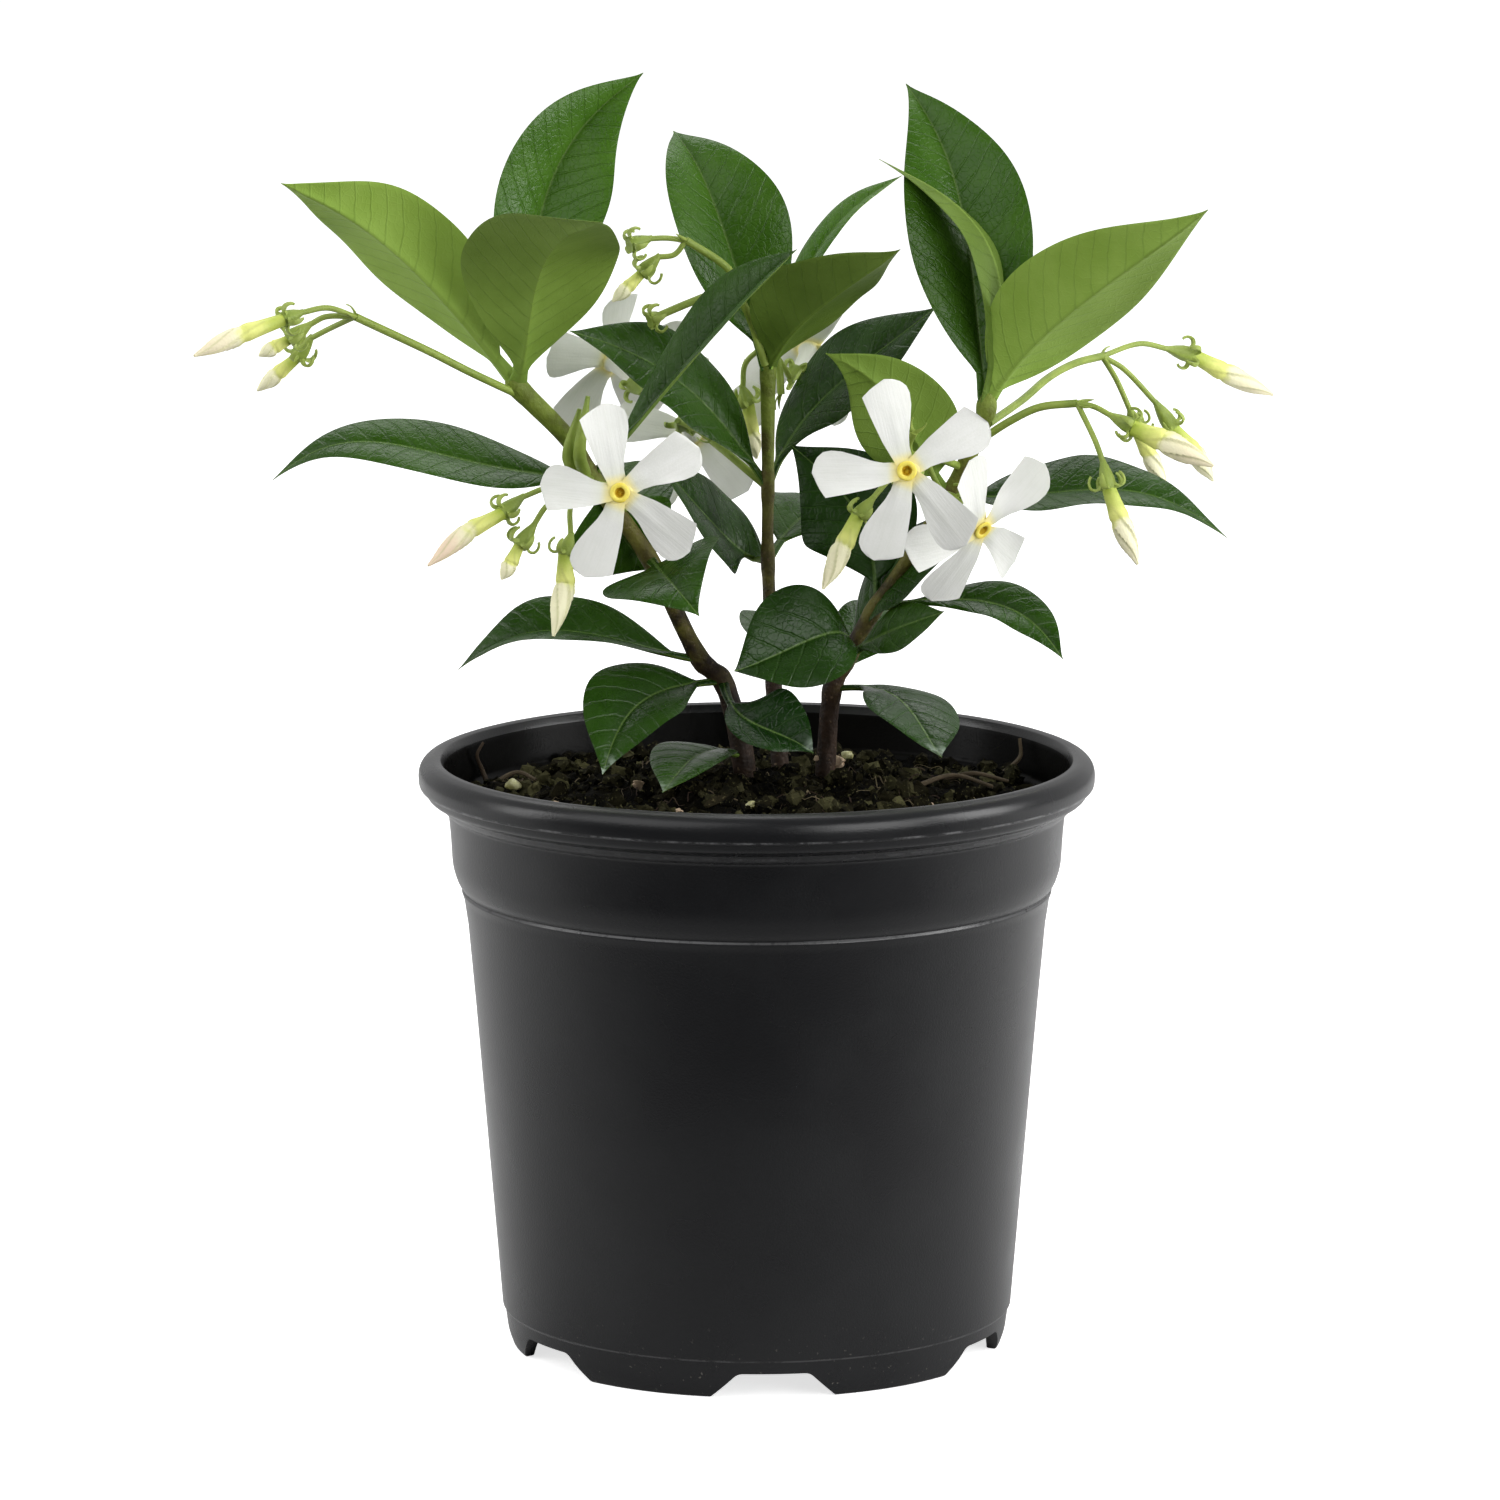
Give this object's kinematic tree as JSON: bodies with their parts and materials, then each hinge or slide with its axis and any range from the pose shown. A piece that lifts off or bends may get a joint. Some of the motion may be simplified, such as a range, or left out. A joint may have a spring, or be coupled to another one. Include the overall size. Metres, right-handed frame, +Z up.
{
  "type": "potted star jasmine",
  "caption": "Young star jasmine in a tapered black plastic nursery pot, with glossy leaves, airy sprays of white pinwheel flowers and slim buds.",
  "frame": {"origin": "on the pot's axis, in the plane that the pot's foot stands on", "axes": "+Z up along the pot's axis, +X to the viewer's right and +Y away from the viewer of the plant's front"},
  "size_m": [0.1899, 0.12, 0.2264],
  "materials": {
    "pot_plastic": "satin",
    "potting_mix": "matte",
    "leaf_and_stem": "satin",
    "spray_green": "matte",
    "petal_white": "matte",
    "eye_yellow": "matte",
    "bud_cream": "matte"
  },
  "bodies": {
    "root": {"pot": "pot_plastic", "potting_mix": "potting_mix", "leafy_stem_left": "leaf_and_stem", "leafy_stem_middle": "leaf_and_stem", "leafy_stem_right": "leaf_and_stem", "spray_far_left": "spray_green", "spray_left": "spray_green", "spray_top": "spray_green", "spray_far_right": "spray_green", "spray_right": "spray_green", "spray_inner_right": "spray_green", "spray_back_left": "spray_green", "spray_back_right": "spray_green", "bud_far_left_1": "bud_cream", "bud_far_left_2": "bud_cream", "bud_far_left_3": "bud_cream", "bud_left_1": "bud_cream", "bud_left_2": "bud_cream", "bud_left_3": "bud_cream", "bud_top_1": "bud_cream", "bud_far_right_1": "bud_cream", "bud_far_right_2": "bud_cream", "bud_far_right_3": "bud_cream", "bud_right_1": "bud_cream", "bud_right_2": "bud_cream", "bud_inner_right_1": "bud_cream", "bud_back_right_1": "bud_cream", "corolla_left": "petal_white", "eye_left": "eye_yellow", "corolla_inner_right_1": "petal_white", "eye_inner_right_1": "eye_yellow", "corolla_inner_right_2": "petal_white", "eye_inner_right_2": "eye_yellow", "corolla_back_left_1": "petal_white", "eye_back_left_1": "eye_yellow", "corolla_back_left_2": "petal_white", "eye_back_left_2": "eye_yellow", "corolla_back_right": "petal_white", "eye_back_right": "eye_yellow"}
  },
  "joints": []
}
